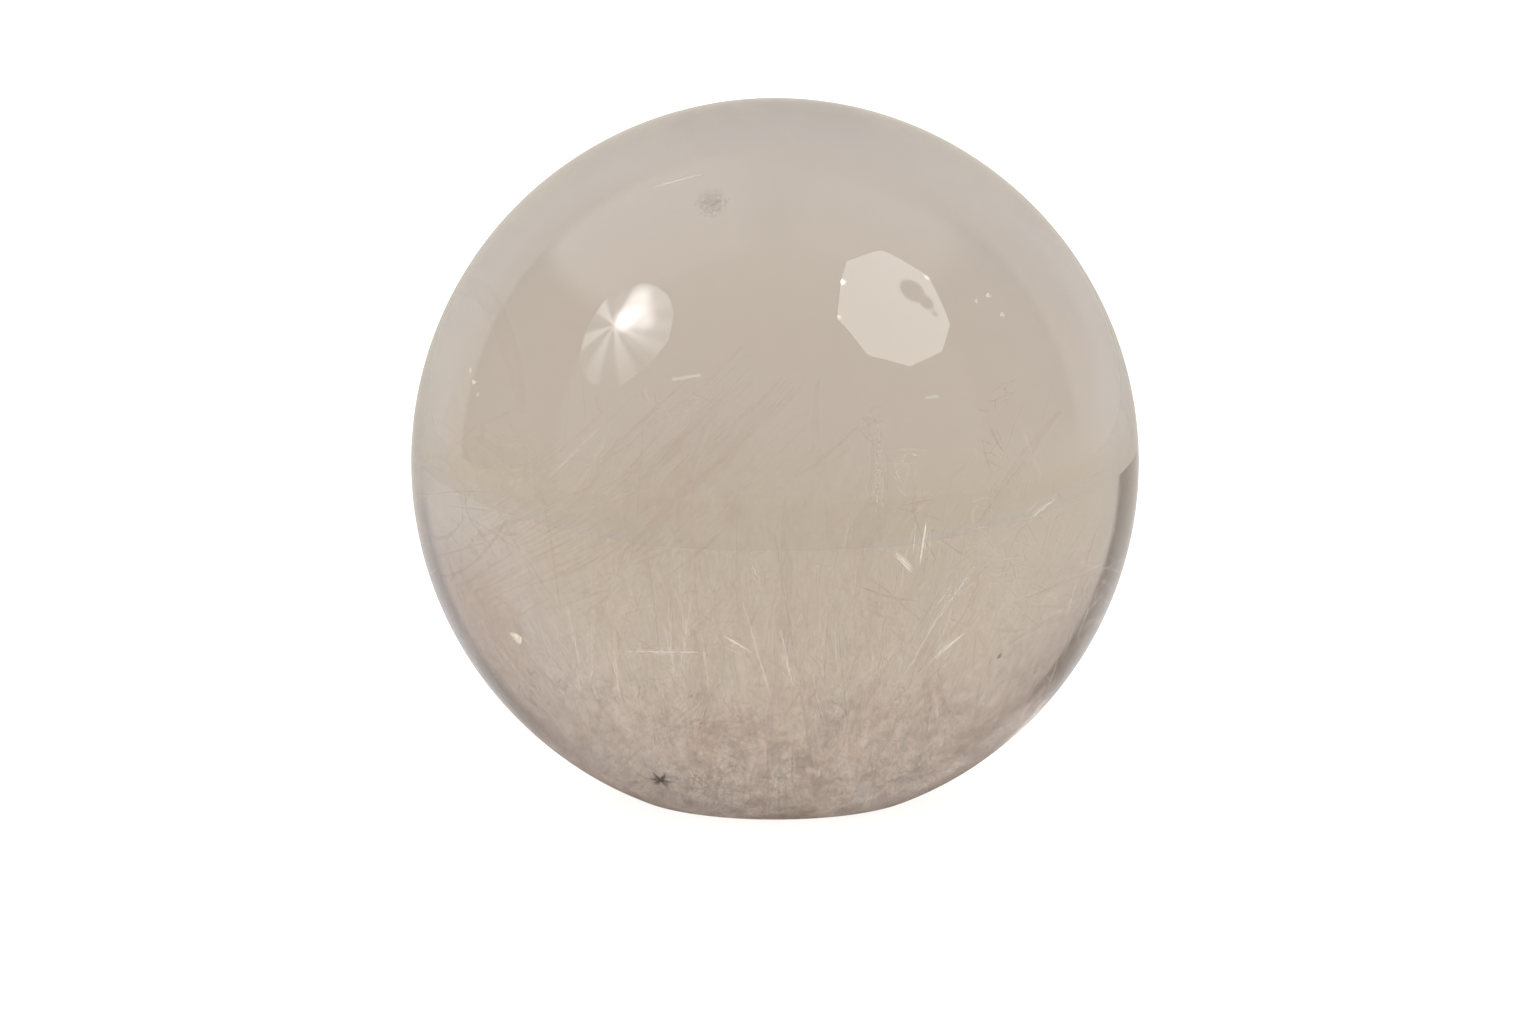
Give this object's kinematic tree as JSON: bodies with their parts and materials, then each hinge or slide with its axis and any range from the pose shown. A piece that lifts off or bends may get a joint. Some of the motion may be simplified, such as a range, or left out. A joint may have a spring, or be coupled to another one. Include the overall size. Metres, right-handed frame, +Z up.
{
  "type": "crystal ball",
  "caption": "Polished clear rock-crystal ball with fine needle inclusions, standing on a small ground flat.",
  "frame": {"origin": "centre of the ground flat that the ball stands on", "axes": "+Z up through the ball's middle, front of the ball towards -Y"},
  "size_m": [0.1, 0.1, 0.0958],
  "materials": {
    "quartz": "polished clear, faintly smoky beige, with a finely ground flat underneath",
    "pale_needle": "silky, pale straw needles",
    "bright_needle": "bright, nearly white needle and blade",
    "spray_fibre": "silky, brown-beige fine needles",
    "mat_fibre": "matt, brown felted fibres",
    "dark_fibre": "satin, grey-brown fine fibres",
    "dark_crystal": "submetallic, near-black brown",
    "trapped_fluid": "smooth grey trapped fluid",
    "rainbow_film": "thin bright film with interference colours"
  },
  "bodies": {
    "root": {"quartz_ball": "quartz", "needles_left": "pale_needle", "needles_centre": "pale_needle", "needles_right": "pale_needle", "needle_upper": "bright_needle", "spray_front": "spray_fibre", "spray_right": "spray_fibre", "spray_back": "spray_fibre", "spray_left": "spray_fibre", "mat_first_layer": "mat_fibre", "mat_second_layer": "mat_fibre", "mat_third_layer": "mat_fibre", "mat_fourth_layer": "mat_fibre", "dark_streaks": "dark_fibre", "dark_fibres_left": "dark_fibre", "pale_fibres_right": "pale_needle", "broad_blade": "bright_needle", "fluid_pocket": "trapped_fluid", "healed_fracture": "rainbow_film", "dark_rosette": "dark_crystal", "dark_grain": "dark_crystal", "flecks_left": "rainbow_film", "flecks_right": "rainbow_film"}
  },
  "joints": []
}
